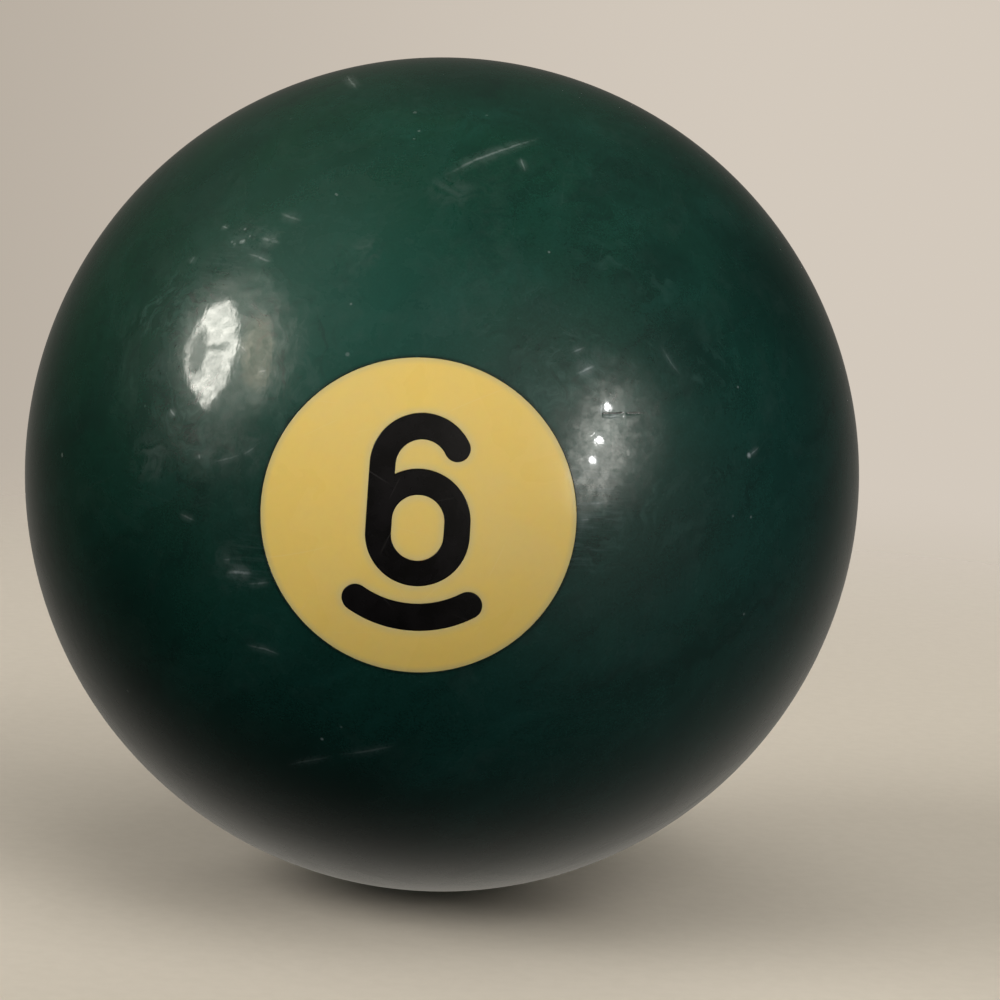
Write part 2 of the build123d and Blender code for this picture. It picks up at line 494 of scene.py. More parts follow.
# ---------------------------------------------------------------------------
# Shader node helpers
# ---------------------------------------------------------------------------
class Nodes:
    def __init__(self, tree):
        self.tree = tree
        tree.nodes.clear()

    def add(self, kind, **props):
        n = self.tree.nodes.new(kind)
        for k, v in props.items():
            setattr(n, k, v)
        return n

    def put(self, socket, value):
        if value is None:
            return
        if isinstance(value, bpy.types.NodeSocket):
            self.tree.links.new(value, socket)
        elif isinstance(value, (tuple, list)) and socket.type == "RGBA" and len(value) == 3:
            socket.default_value = (*value, 1.0)
        else:
            socket.default_value = value

    def math(self, op, a, b=None, c=None, clamp=False):
        n = self.add("ShaderNodeMath", operation=op, use_clamp=clamp)
        for s, v in zip(n.inputs, (a, b, c)):
            self.put(s, v)
        return n.outputs[0]

    def vec(self, op, a, b=None, scale=None):
        n = self.add("ShaderNodeVectorMath", operation=op)
        self.put(n.inputs[0], a)
        if b is not None:
            self.put(n.inputs[1], b)
        if scale is not None:
            self.put(n.inputs["Scale"], scale)
        return n.outputs["Value"] if op in ("DOT_PRODUCT", "LENGTH", "DISTANCE") else n.outputs["Vector"]

    def noise(self, v, scale, detail=2.0, rough=0.5, warp=0.0, colour=False):
        n = self.add("ShaderNodeTexNoise", noise_dimensions="3D")
        self.put(n.inputs["Vector"], v)
        n.inputs["Scale"].default_value = scale
        n.inputs["Detail"].default_value = detail
        n.inputs["Roughness"].default_value = rough
        n.inputs["Distortion"].default_value = warp
        return n.outputs["Color" if colour else "Fac"]

    def ramp(self, x, x0, x1, y0=0.0, y1=1.0, smooth=True):
        n = self.add("ShaderNodeMapRange", interpolation_type="SMOOTHSTEP" if smooth else "LINEAR", clamp=True)
        for s, v in zip(n.inputs, (x, x0, x1, y0, y1)):
            self.put(s, v)
        return n.outputs[0]

    def mix(self, fac, a, b):
        n = self.add("ShaderNodeMix", data_type="RGBA")
        self.put(n.inputs["Factor"], fac)
        self.put(n.inputs[6], a)
        self.put(n.inputs[7], b)
        return n.outputs[2]

    def xyz(self, v):
        n = self.add("ShaderNodeSeparateXYZ")
        self.put(n.inputs[0], v)
        return n.outputs

    def join(self, x, y, z):
        n = self.add("ShaderNodeCombineXYZ")
        for s, v in zip(n.inputs, (x, y, z)):
            self.put(s, v)
        return n.outputs[0]

    def millimetres(self):
        """Position on the object, in millimetres from the ball's centre."""
        return self.vec("SCALE", self.add("ShaderNodeTexCoord").outputs["Object"], scale=1000.0)

    def hairlines(self, p, cell, width, seed, keep, reach=0.5):
        """Straight hairline scratches, one in each cell of a 3-D cell pattern. cell and width are in mm."""
        q = self.vec("ADD", p, seed)
        v = self.add("ShaderNodeTexVoronoi", voronoi_dimensions="3D", feature="F1")
        self.put(v.inputs["Vector"], q)
        v.inputs["Scale"].default_value = 1.0 / cell
        v.inputs["Randomness"].default_value = 1.0
        rnd = v.outputs["Color"]
        axis = self.vec("NORMALIZE", self.vec("SUBTRACT", rnd, (0.5, 0.5, 0.5)))
        off = self.vec("SUBTRACT", q, v.outputs["Position"])
        d = self.math("ABSOLUTE", self.vec("DOT_PRODUCT", off, axis))
        mask = self.ramp(d, width * 0.25, width, 1.0, 0.0)
        fade = self.ramp(self.vec("LENGTH", off), cell * reach * 0.45, cell * reach, 1.0, 0.0)
        pick = self.xyz(rnd)
        chosen = self.ramp(pick[0], 1.0 - keep - 0.12, 1.0 - keep + 0.12, 0.0, 1.0)
        return self.math("MULTIPLY", self.math("MULTIPLY", mask, fade), chosen)

    def mark(self, p, a, b, width, strength=1.0, fade=0.42):
        """One scratch from a to b over the ball's surface, points in mm."""
        a, b = Vector(a), Vector(b)
        n = a.cross(b).normalized()
        ab = b - a
        d = self.math("ABSOLUTE", self.vec("DOT_PRODUCT", p, tuple(n)))
        t = self.math("SUBTRACT", self.vec("DOT_PRODUCT", p, tuple(ab / ab.length_squared)),
                      a.dot(ab) / ab.length_squared)
        # a front face test, so that the far side of the ball stays clean
        mid = ((a + b) / 2).normalized()
        front = self.ramp(self.vec("DOT_PRODUCT", p, tuple(mid)), BALL_R * 0.8, BALL_R * 0.85, 0.0, 1.0)
        inb = self.math("MULTIPLY", self.ramp(t, -0.02, fade, 0.0, 1.0), self.ramp(t, 1.0 - fade, 1.02, 1.0, 0.0))
        line = self.math("MAXIMUM", self.ramp(d, 0.0, width * 0.75, 1.0, 0.0), self.ramp(d, 0.0, width * 3.2, 0.28, 0.0))
        m = self.math("MULTIPLY", line, inb)
        m = self.math("MULTIPLY", m, front)
        return self.math("MULTIPLY", m, strength)

    def cut(self, p, a, b, above, below, start=0.04, end=0.15):
        """A lopsided cut from a to b: how deep it is (0 to 1), and the painted shade on its steep upper wall."""
        a, b = Vector(a), Vector(b)
        along = b - a
        up = ((a + b) / 2).cross(along).normalized()
        if up.z < 0:
            up = -up
        q = self.vec("SUBTRACT", p, tuple(a))
        t = self.math("DIVIDE", self.vec("DOT_PRODUCT", q, tuple(along.normalized())), along.length)
        s = self.vec("DOT_PRODUCT", q, tuple(up))
        s = self.math("ADD", s, self.math("MULTIPLY", self.math("SUBTRACT", self.noise(p, 1.6, 2.0, 0.6), 0.5), 0.10))
        run = self.math("MULTIPLY", self.ramp(t, -0.01, start, 0.0, 1.0), self.ramp(t, 1.0 - end, 1.01, 1.0, 0.0))
        deep = self.math("MULTIPLY", self.ramp(s, -below, -above * 0.4, 0.0, 1.0, smooth=False),
                         self.ramp(s, -above * 0.4, above, 1.0, 0.0, smooth=False))
        dark = self.math("MULTIPLY", self.ramp(s, -above, 0.0, 0.0, 1.0), self.ramp(s, 0.0, above * 1.2, 1.0, 0.0))
        return self.math("MULTIPLY", deep, run), self.math("MULTIPLY", dark, run)

    def chip_glint(self, p, at, radius, strength=1.0):
        d = self.vec("DISTANCE", p, tuple(at))
        return self.ramp(d, 0.0, radius * 0.85, strength, 0.0)

    def total(self, values, op="MAXIMUM"):
        out = values[0]
        for v in values[1:]:
            out = self.math(op, out, v)
        return out

    def bump(self, height, distance, strength=1.0, normal=None):
        n = self.add("ShaderNodeBump")
        n.inputs["Strength"].default_value = strength
        n.inputs["Distance"].default_value = distance
        self.put(n.inputs["Height"], height)
        self.put(n.inputs["Normal"], normal)
        return n.outputs["Normal"]

    def surface(self, **inputs):
        n = self.add("ShaderNodeBsdfPrincipled")
        for k, v in inputs.items():
            self.put(n.inputs[k.replace("_", " ")], v)
        out = self.add("ShaderNodeOutputMaterial")
        self.tree.links.new(n.outputs[0], out.inputs["Surface"])
        return n


def material(name):
    m = bpy.data.materials.new(name)
    m.use_nodes = True
    return m, Nodes(m.node_tree)


# ---------------------------------------------------------------------------
# Marks of play on the front of the ball, with the painted glints and haze round its highlights, in mm
# ---------------------------------------------------------------------------
# from, to, width, strength
SCRATCHES = [
    ((-11.37, -20.85, 15.89), (-9.82, -21.80, 15.64), 0.26, 0.55),
    ((-10.17, -20.21, 17.45), (-8.54, -21.31, 17.02), 0.22, 0.32),
    ((-12.00, -21.24, 14.87), (-10.23, -22.42, 14.46), 0.14, 0.45),
    ((-13.96, -18.80, 16.38), (-13.38, -19.34, 16.23), 0.12, 0.70),
    ((-12.77, -20.39, 15.42), (-13.02, -20.29, 15.34), 0.12, 0.60),
    ((-15.43, -19.21, 14.47), (-15.68, -19.43, 13.90), 0.20, 0.35),
    ((-0.43, -20.07, 20.34), (5.65, -15.59, 23.27), 0.24, 0.46),
    ((4.28, -17.74, 21.99), (4.81, -18.75, 21.02), 0.15, 0.40),
    ((-7.85, -6.62, 26.67), (-6.77, -10.74, 25.60), 0.22, 0.60),
    ((-11.66, -21.50, 14.77), (-10.18, -22.40, 14.52), 0.20, 0.55),
    ((-11.14, -21.10, 15.73), (-9.93, -21.54, 15.94), 0.15, 0.40),
    ((-12.74, -25.49, 2.16), (-10.91, -26.26, 2.84), 0.14, 0.30),
    ((-10.91, -26.26, 2.84), (-9.95, -26.55, 3.54), 0.14, 0.30),
    ((-13.70, -24.94, 2.65), (-13.60, -25.03, 2.24), 0.14, 0.50),
    ((-15.87, -23.22, 5.07), (-15.41, -23.61, 4.63), 0.15, 0.80),
    ((-11.88, -24.19, 9.52), (-11.10, -24.77, 8.93), 0.13, 0.90),
    ((-10.34, -25.45, 7.86), (-9.78, -25.62, 8.03), 0.14, 0.70),
    ((-14.78, -24.43, -1.16), (-13.62, -25.07, -1.50), 0.14, 0.35),
    ((-11.81, -25.77, -3.63), (-11.23, -26.03, -3.61), 0.15, 0.50),
    ((-11.65, -25.72, -4.42), (-9.73, -26.53, -4.24), 0.24, 0.80),
    ((-10.21, -26.22, -4.99), (-8.63, -26.84, -4.67), 0.15, 0.40),
    ((-10.10, -25.24, -8.81), (-7.79, -25.90, -9.22), 0.15, 0.40),
    ((-7.65, -21.81, -16.81), (-4.36, -23.54, -15.60), 0.18, 0.22),
    ((-4.36, -23.54, -15.60), (-0.38, -24.64, -14.46), 0.18, 0.22),
    ((8.79, -25.60, 9.16), (10.02, -24.97, 9.64), 0.20, 0.80),
    ((8.46, -25.26, 10.33), (9.33, -24.79, 10.73), 0.15, 0.40),
    ((13.70, -22.48, 11.11), (15.31, -22.31, 9.19), 0.14, 0.22),
    ((10.19, -26.66, 1.48), (10.97, -26.34, 1.51), 0.14, 0.50),
    ((9.72, -26.87, 0.50), (10.38, -26.62, 0.52), 0.14, 0.35),
    ((10.55, -26.45, 2.34), (10.91, -26.31, 2.35), 0.14, 0.40),
    # these two pale lines are the notch's bright edges, a painted highlight
    ((10.65, -25.66, 6.69), (11.80, -25.14, 6.74), 0.10, 1.00),
    ((10.52, -25.52, 7.41), (10.58, -25.68, 6.78), 0.10, 1.00),
    ((19.89, -20.02, 4.49), (20.50, -19.25, 5.06), 0.12, 0.55),
]
NOTCH = ((10.58, -25.64, 6.84), (11.95, -25.02, 6.95))
NOTCH_TAIL = ((11.98, -25.00, 6.92), (13.40, -24.24, 6.98))
GLINT_ARCS = [
    ((-13.27, -23.40, 9.63), 12.5, 0.62),
    ((10.69, -25.54, 7.06), 15.0, 0.50),
]
# brushed streaks, real marks whose sheen is painted in: at, radius, strength
BRUSHED_AND_SHEEN = [
    ((10.36, -26.58, 1.55), 3.40, 0.45),
    ((10.05, -26.74, -0.76), 2.60, 0.45),
    ((-10.27, -26.44, -3.49), 2.60, 0.25),
    ((-13.42, -21.25, 13.60), 3.00, 0.30),
]
DEEP = [
    ((13.51, -19.41, 16.04), 3.4, 0.42),
    ((15.96, -21.08, 10.83), 4.0, 0.45),
    ((19.29, -15.78, 13.97), 5.0, 0.40),
    ((21.13, -12.11, 14.95), 8.0, 0.55),
    ((-18.04, -21.60, -4.96), 7.0, 0.45),
    ((-3.43, -20.86, -19.23), 8.0, 0.60),
    ((-0.19, -9.14, 27.07), 7.0, 0.45),
]
# a pool of painted light on the window side: at, radius
WINDOW_LIGHT_POOL = ((-6.6, -25.6, 10.8), 15.0)
# small chips, drawn as pale spots with their glints painted in: at, radius, strength
CHIP_GLINTS = [
    ((-12.44, -20.53, 15.51), 0.22, 1.40),
    ((-12.31, -19.97, 16.31), 0.16, 0.70),
    ((-11.91, -20.53, 15.91), 0.13, 0.70),
    ((-6.76, -20.38, 18.86), 0.14, 0.50),
    ((-17.61, -21.93, 5.04), 0.14, 0.40),
    ((-12.31, -20.57, 15.55), 0.26, 1.00),
    ((-13.04, -20.18, 15.46), 0.19, 0.50),
    ((-6.69, -20.45, 18.80), 0.14, 0.50),
    ((-2.13, -16.64, 23.13), 0.16, 0.60),
    ((-2.37, -17.32, 22.60), 0.14, 0.50),
    ((6.66, -22.55, 16.24), 0.14, 0.50),
    ((-4.99, -25.28, 12.35), 0.14, 0.50),
    ((-5.19, -24.03, -14.56), 0.18, 0.90),
    ((-4.00, -24.82, -13.58), 0.14, 0.50),
    ((19.89, -20.02, 4.49), 0.30, 1.10),
    ((18.90, -19.60, 8.66), 0.15, 0.50),
    ((20.30, -20.10, 0.67), 0.15, 0.50),
    ((19.13, -21.21, 0.77), 0.14, 0.40),
    ((20.38, -19.24, -5.55), 0.15, 0.50),
    ((-23.67, -15.98, 1.05), 0.25, 0.60),
]


# where the polish is clouded, with the grey haze of its scattered light painted in: at, radius, strength
HAZE_PATCHES = [
    ((-12.51, -25.46, 3.45), 2.6, 0.80),
    ((-10.3, -26.48, 3.09), 2.0, 0.60),
    ((-16.97, -22.91, 1.94), 2.2, 0.90),
    ((-16.97, -21.76, 7.43), 1.8, 0.60),
    ((-12.02, -20.57, 15.78), 2.4, 0.70),
    ((-4.43, -23.56, 15.55), 1.6, 0.60),
    ((0.4, -20.8, 19.59), 2.2, 0.60),
    ((9.64, -25.03, 9.86), 1.8, 0.60),
    ((10.02, -26.76, 0.45), 1.5, 0.70),
    ((-11.28, -25.96, -3.93), 2.4, 0.50),
    ((-14.91, -21.35, 11.77), 1.6, 0.50),
]


# ---------------------------------------------------------------------------
# Body: deep green phenolic resin, polished, hazed and scratched by play
# ---------------------------------------------------------------------------
def body_material():
    m, g = material("green_phenolic")
    p = g.millimetres()
    xyz = g.xyz(p)
    wob = g.vec("SUBTRACT", g.noise(p, 0.6, 2.0, 0.5, colour=True), (0.5, 0.5, 0.5))
    pw = g.vec("ADD", p, g.vec("SCALE", wob, scale=0.35))      # slightly wandering, for scratches

    # colour: olive at one side, teal at the other, with cloudy depth in the casting
    way = g.ramp(g.vec("DOT_PRODUCT", p, (0.55, 0.15, -0.82)), -26.0, 24.0, 0.0, 1.0, smooth=False)
    col = g.mix(way, (0.0032, 0.0450, 0.0245), (0.0085, 0.0450, 0.0405))
    cloud = g.noise(p, 0.07, 3.0, 0.55, 0.6)
    streak = g.noise(g.vec("MULTIPLY", p, (1.0, 1.0, 0.6)), 0.19, 4.0, 0.6, 1.2)
    grain = g.noise(p, 1.7, 3.0, 0.6)
    col = g.mix(g.ramp(cloud, 0.36, 0.66, 0.55, 0.0), col, (0.0030, 0.0260, 0.0190))
    col = g.mix(g.ramp(streak, 0.44, 0.72, 0.0, 0.30), col, (0.0085, 0.0620, 0.0450))
    col = g.mix(g.ramp(grain, 0.3, 0.8, 0.0, 0.30), col, (0.0010, 0.0220, 0.0155))
    dust = g.noise(p, 6.5, 2.0, 0.7)
    col = g.mix(g.ramp(dust, 0.42, 0.70, 0.0, 0.28), col, (0.0120, 0.0700, 0.0560))
    col = g.mix(g.ramp(dust, 0.30, 0.52, 0.28, 0.0), col, (0.0010, 0.0240, 0.0170))
    # long swept patches, lighter and darker, running down to the right
    swept = g.add("ShaderNodeVectorRotate", rotation_type="AXIS_ANGLE")
    g.put(swept.inputs["Vector"], g.vec("ADD", p, g.vec("SCALE", wob, scale=3.0)))
    swept.inputs["Axis"].default_value = (0.0, 1.0, 0.0)
    swept.inputs["Angle"].default_value = 0.70
    q = g.vec("MULTIPLY", swept.outputs[0], (0.35, 0.7, 2.2))
    sweep = g.noise(q, 0.17, 4.0, 0.62, 0.8)
    col = g.mix(g.ramp(sweep, 0.50, 0.72, 0.0, 0.26), col, (0.0110, 0.0760, 0.0600))
    col = g.mix(g.ramp(sweep, 0.28, 0.48, 0.48, 0.0), col, (0.0028, 0.0200, 0.0155))
    # deeper places in the casting, and a paler patch on the window side, which is painted light
    drift = g.vec("SUBTRACT", g.noise(p, 0.17, 3.0, 0.6, colour=True), (0.5, 0.5, 0.5))
    loose = g.vec("ADD", p, g.vec("SCALE", drift, scale=5.0))
    deep = g.total([g.ramp(g.vec("DISTANCE", loose, at), r * 0.1, r, k, 0.0) for at, r, k in DEEP])
    col = g.mix(deep, col, (0.0008, 0.0180, 0.0140))
    col = g.mix(g.ramp(g.vec("DISTANCE", p, WINDOW_LIGHT_POOL[0]), 0.0, WINDOW_LIGHT_POOL[1], 0.52, 0.0), col, (0.0060, 0.0900, 0.0660))

    # where play has dulled the polish
    worn = g.ramp(g.noise(g.vec("ADD", p, (3.0, -5.0, 9.0)), 0.13, 5.0, 0.62, 1.4), 0.45, 0.68)

    # hairlines all over
    fine = g.total([
        g.hairlines(pw, 4.2, 0.036, (11.9, 2.3, 5.1), 0.35, 0.6),
        g.hairlines(pw, 1.9, 0.028, (-4.7, 8.1, 17.3), 0.55, 0.65),
    ])
    pits = g.add("ShaderNodeTexVoronoi", voronoi_dimensions="3D", feature="F1")
    g.put(pits.inputs["Vector"], g.vec("ADD", p, (5.0, 5.0, 5.0)))
    pits.inputs["Scale"].default_value = 0.42
    pick = g.xyz(pits.outputs["Color"])[1]
    pit = g.math("MULTIPLY", g.ramp(pits.outputs["Distance"], 0.03, 0.075, 1.0, 0.0),
                 g.ramp(pick, 0.86, 0.90, 0.0, 1.0))
    scratches_and_glints = g.total([g.mark(pw, *s) for s in SCRATCHES] + [g.chip_glint(p, *s) for s in CHIP_GLINTS])
    # the notch and its tail: depth for the relief, and painted shade for their steep walls
    notch, wall = g.cut(p, *NOTCH, 0.075, 0.34)
    tail, brown = g.cut(p, *NOTCH_TAIL, 0.10, 0.16, 0.10, 0.60)

    # painted shade: a darker line where the polished green meets the number spot
    radial = g.math("SQRT", g.math("ADD", g.math("MULTIPLY", xyz[0], xyz[0]), g.math("MULTIPLY", xyz[2], xyz[2])))
    joint_shade = g.ramp(radial, SPOT_R, SPOT_R + 0.30, 1.0, 0.0)
    joint_shade = g.math("MULTIPLY", joint_shade, g.ramp(g.math("ABSOLUTE", xyz[1]), 20.0, 24.0))
    col = g.mix(g.math("MULTIPLY", joint_shade, 0.75), col, (0.0015, 0.0110, 0.0060))

    # grey haze on the dulled polish: wear, with the sheen it scatters painted in as a paler grey
    haze_breakup = g.ramp(g.noise(g.vec("ADD", p, (0.0, 4.0, 2.0)), 0.8, 4.0, 0.65, 1.2), 0.38, 0.66)
    wear_and_painted_haze = g.math("MULTIPLY", g.total([g.ramp(g.vec("DISTANCE", p, at), r * 0.15, r, k, 0.0) for at, r, k in HAZE_PATCHES]), haze_breakup)
    wear_and_painted_haze = g.math("MAXIMUM", wear_and_painted_haze, g.math("MULTIPLY", g.math("MULTIPLY", worn, haze_breakup), 0.16))
    col = g.mix(g.math("MULTIPLY", wear_and_painted_haze, 0.50), col, (0.080, 0.120, 0.112))

    # fine arcs round the two highlights: painted glints and dark lines of hairlines catching the light there
    drifted = g.vec("ADD", p, g.vec("SCALE", drift, scale=11.0))
    for at, reach, much in GLINT_ARCS:
        off = g.vec("SUBTRACT", drifted, at)
        far = g.vec("LENGTH", off)
        ring = g.vec("ADD", g.vec("SCALE", g.vec("NORMALIZE", off), scale=2.8), g.vec("SCALE", (0.60, 0.90, 0.50), scale=far))
        arc_noise = g.noise(ring, 1.0, 4.0, 0.66)
        patchy = g.ramp(g.noise(g.vec("ADD", p, at), 0.22, 3.0, 0.6), 0.42, 0.60, 0.10, 1.0)
        mask = g.math("MULTIPLY", g.math("MULTIPLY", g.ramp(far, reach * 0.35, reach, 1.0, 0.0), patchy), much)
        col = g.mix(g.math("MULTIPLY", mask, g.ramp(arc_noise, 0.50, 0.66)), col, (0.034, 0.092, 0.076))
        col = g.mix(g.math("MULTIPLY", mask, g.ramp(arc_noise, 0.34, 0.48, 1.0, 0.0)), col, (0.0015, 0.0170, 0.0130))

    # brushed streaks: the paler grey bands are their painted sheen, the darker bands the streaks themselves
    bands = g.noise(g.vec("MULTIPLY", p, (0.5, 0.5, 4.6)), 1.0, 3.0, 0.65)
    near = g.total([g.ramp(g.vec("DISTANCE", p, at), r * 0.2, r, k, 0.0) for at, r, k in BRUSHED_AND_SHEEN])
    col = g.mix(g.math("MULTIPLY", near, g.ramp(bands, 0.48, 0.64)), col, (0.058, 0.100, 0.096))
    col = g.mix(g.math("MULTIPLY", near, g.ramp(bands, 0.36, 0.48, 0.8, 0.0)), col, (0.0010, 0.0110, 0.0090))

    # pale marks, with the painted glints of chips and of the notch's edges: broken along their length
    broken = g.ramp(g.noise(p, 2.4, 2.0, 0.6), 0.30, 0.60, 0.35, 1.0)
    light = g.math("MULTIPLY", fine, 0.020)
    light = g.math("MAXIMUM", light, g.math("MINIMUM", g.math("MULTIPLY", g.math("MULTIPLY", scratches_and_glints, broken), 1.15), 1.0))
    light = g.math("MAXIMUM", light, g.math("MULTIPLY", pit, 0.30))
    col = g.mix(light, col, (0.27, 0.33, 0.325))
    # painted shade on the notch's steep wall
    col = g.mix(wall, col, (0.0010, 0.0050, 0.0040))
    # painted shade, dark brown, along the notch's tail
    col = g.mix(g.math("MULTIPLY", brown, 0.7), col, (0.010, 0.009, 0.007))

    rough = g.math("ADD", g.ramp(worn, 0.0, 1.0, 0.25, 0.34, smooth=False),
                   g.math("MULTIPLY", g.math("SUBTRACT", grain, 0.5), 0.10))

    # relief: slow waviness, grain of the worn polish, hairlines, pits
    wave = g.noise(p, 0.75, 2.0, 0.5, 0.4)
    left = g.ramp(xyz[0], -6.0, 2.0, 1.0, 0.0)
    fibres = g.noise(g.vec("MULTIPLY", p, (2.8, 2.8, 0.8)), 1.0, 3.0, 0.6, 0.6)
    crinkle = g.noise(p, 2.2, 3.0, 0.6, 0.8)
    tooth = g.math("ADD", g.math("MULTIPLY", fibres, left), g.math("MULTIPLY", crinkle, g.math("MULTIPLY_ADD", left, -0.36, 0.36)))
    h = g.math("MULTIPLY", wave, 0.0040)
    h = g.math("ADD", h, g.math("MULTIPLY", tooth, 0.0036))
    h = g.math("SUBTRACT", h, g.math("MULTIPLY", fine, 0.0007))
    h = g.math("SUBTRACT", h, g.math("MULTIPLY", pit, 0.0060))
    h = g.math("SUBTRACT", h, g.math("MULTIPLY", notch, 0.0170))
    h = g.math("SUBTRACT", h, g.math("MULTIPLY", tail, 0.0100))
    normal = g.bump(h, 0.001)
    g.surface(Base_Color=col, Roughness=rough, Normal=normal, IOR=1.55, Specular_IOR_Level=0.14,
              Coat_Weight=1.0, Coat_Roughness=0.05, Coat_IOR=1.5, Coat_Normal=normal)
    return m


def spot_material():
    m, g = material("cream_phenolic")
    p = g.millimetres()
    edge = g.add("ShaderNodeAttribute", attribute_name="edge_mm").outputs["Fac"]
    xyz = g.xyz(p)
    radial = g.math("SQRT", g.math("ADD", g.math("MULTIPLY", xyz[0], xyz[0]), g.math("MULTIPLY", xyz[2], xyz[2])))
    cloud = g.noise(p, 0.16, 3.0, 0.5, 0.5)
    grain = g.noise(p, 2.2, 3.0, 0.6)
    col = g.mix(g.ramp(cloud, 0.35, 0.7), (0.78, 0.560, 0.150), (0.75, 0.555, 0.180))
    col = g.mix(g.ramp(grain, 0.35, 0.8, 0.0, 0.10), col, (0.66, 0.46, 0.12))
    halo = g.ramp(edge, 0.0, 0.55, 0.5, 0.0)
    col = g.mix(halo, col, (0.63, 0.52, 0.28))
    rim = g.ramp(radial, SPOT_R - 0.45, SPOT_R, 0.0, 0.55)
    col = g.mix(rim, col, (0.52, 0.44, 0.24))
    fine = g.total([
        g.hairlines(p, 5.0, 0.040, (1.1, 2.7, 8.3), 0.40, 0.55),
        g.hairlines(p, 2.6, 0.030, (-7.9, 4.3, 3.1), 0.45, 0.6),
    ])
    col = g.mix(g.math("MULTIPLY", fine, 0.12), col, (0.80, 0.70, 0.45))
    rough = g.ramp(cloud, 0.3, 0.7, 0.26, 0.34)
    h = g.math("MULTIPLY", g.noise(p, 0.75, 2.0, 0.5, 0.4), 0.004)
    h = g.math("ADD", h, g.math("MULTIPLY", g.noise(p, 2.6, 3.0, 0.6, 0.8), 0.0016))
    h = g.math("SUBTRACT", h, g.math("MULTIPLY", fine, 0.0012))
    normal = g.bump(h, 0.001)
    s = g.surface(Base_Color=col, Roughness=rough, Normal=normal, IOR=1.5, Specular_IOR_Level=0.14,
                  Coat_Weight=1.0, Coat_Roughness=0.06, Coat_IOR=1.5, Coat_Normal=normal)
    s.inputs["Subsurface Weight"].default_value = 0.25
    s.inputs["Subsurface Radius"].default_value = (1.0, 0.55, 0.15)
    s.inputs["Subsurface Scale"].default_value = 0.0012
    return m


def fill_material():
    m, g = material("black_fill")
    p = g.millimetres()
    edge = g.add("ShaderNodeAttribute", attribute_name="edge_mm").outputs["Fac"]
    cloud = g.noise(p, 0.5, 3.0, 0.6, 0.5)
    grain = g.noise(p, 3.0, 3.0, 0.6)
    col = g.mix(g.ramp(cloud, 0.35, 0.7), (0.0018, 0.0015, 0.0017), (0.0050, 0.0043, 0.0050))
    col = g.mix(g.ramp(edge, -0.16, -0.02, 0.0, 0.8), col, (0.0018, 0.0015, 0.0012))
    fine = g.total([
        g.hairlines(p, 3.2, 0.040, (2.1, 6.7, 4.3), 0.45, 0.55),
        g.hairlines(p, 1.7, 0.028, (-3.9, 1.3, 9.1), 0.40, 0.6),
    ])
    col = g.mix(g.math("MULTIPLY", fine, 0.06), col, (0.22, 0.20, 0.20))
    rough = g.ramp(grain, 0.3, 0.8, 0.27, 0.36)
    h = g.math("MULTIPLY", g.noise(p, 0.9, 2.0, 0.5, 0.4), 0.004)
    h = g.math("ADD", h, g.math("MULTIPLY", grain, 0.0020))
    h = g.math("SUBTRACT", h, g.math("MULTIPLY", fine, 0.0007))
    normal = g.bump(h, 0.001)
    g.surface(Base_Color=col, Roughness=rough, Normal=normal, IOR=1.5, Specular_IOR_Level=0.14,
              Coat_Weight=1.0, Coat_Roughness=0.07, Coat_IOR=1.5, Coat_Normal=normal)
    return m


green, cream, black = body_material(), spot_material(), fill_material()

plug = plug_shell()
six = fill_shell([SIX_OUT, SIX_EYE])
bar = fill_shell([BAR_OUT])
PIECES = [
    make_piece("green_body", body_shell(), "ball_body", green),
    make_piece("spot_front", plug, "number_spot_front", cream, True),
    make_piece("spot_back", turned(plug), "number_spot_back", cream, True),
    make_piece("six_front", six, "numeral_front", black, True),
    make_piece("six_back", turned(six), "numeral_back", black, True),
    make_piece("bar_front", bar, "underline_front", black, True),
    make_piece("bar_back", turned(bar), "underline_back", black, True),
]


# ---------------------------------------------------------------------------
# Stage: pale floor, soft light
# ---------------------------------------------------------------------------
FLOOR_Z = -BALL_R * MM


def floor():
    rings, n = [0.0], 96
    r = 0.004
    while r < 1.2:
        rings.append(r)
        r *= 1.25
    verts = [(0, 0, FLOOR_Z)]
    faces = []
    for r in rings[1:]:
        verts += [(r * math.cos(2 * math.pi * i / n), r * math.sin(2 * math.pi * i / n), FLOOR_Z) for i in range(n)]
    faces += [(0, 1 + i, 1 + (i + 1) % n) for i in range(n)]
    for k in range(len(rings) - 2):
        a, b = 1 + k * n, 1 + (k + 1) * n
        faces += [(a + i, b + i, b + (i + 1) % n, a + (i + 1) % n) for i in range(n)]
    me = bpy.data.meshes.new("studio_floor")
    me.from_pydata(verts, [], faces)
    o = bpy.data.objects.new("studio_floor", me)
    bpy.context.scene.collection.objects.link(o)
    m, g = material("floor_paper")
    p = g.millimetres()
    xyz = g.xyz(p)
    r = g.math("SQRT", g.math("ADD", g.math("MULTIPLY", xyz[0], xyz[0]), g.math("MULTIPLY", xyz[1], xyz[1])))
    col = g.mix(g.ramp(g.noise(p, 0.8, 4.0, 0.6), 0.3, 0.7), (0.700, 0.636, 0.550), (0.720, 0.655, 0.568))
    diffuse = g.add("ShaderNodeBsdfDiffuse")
    g.put(diffuse.inputs["Color"], col)
    clear = g.add("ShaderNodeBsdfTransparent")
    mix = g.add("ShaderNodeMixShader")
    g.put(mix.inputs[0], g.ramp(r, 70.0, 340.0, 0.0, 1.0))
    g.tree.links.new(diffuse.outputs[0], mix.inputs[1])
    g.tree.links.new(clear.outputs[0], mix.inputs[2])
    out = g.add("ShaderNodeOutputMaterial")
    g.tree.links.new(mix.outputs[0], out.inputs["Surface"])
    me.materials.append(m)
    # the ball keeps its dark underside: the floor catches light but sends none back
    o.visible_glossy = False
    o.visible_diffuse = False
    return o


FLOOR = floor()

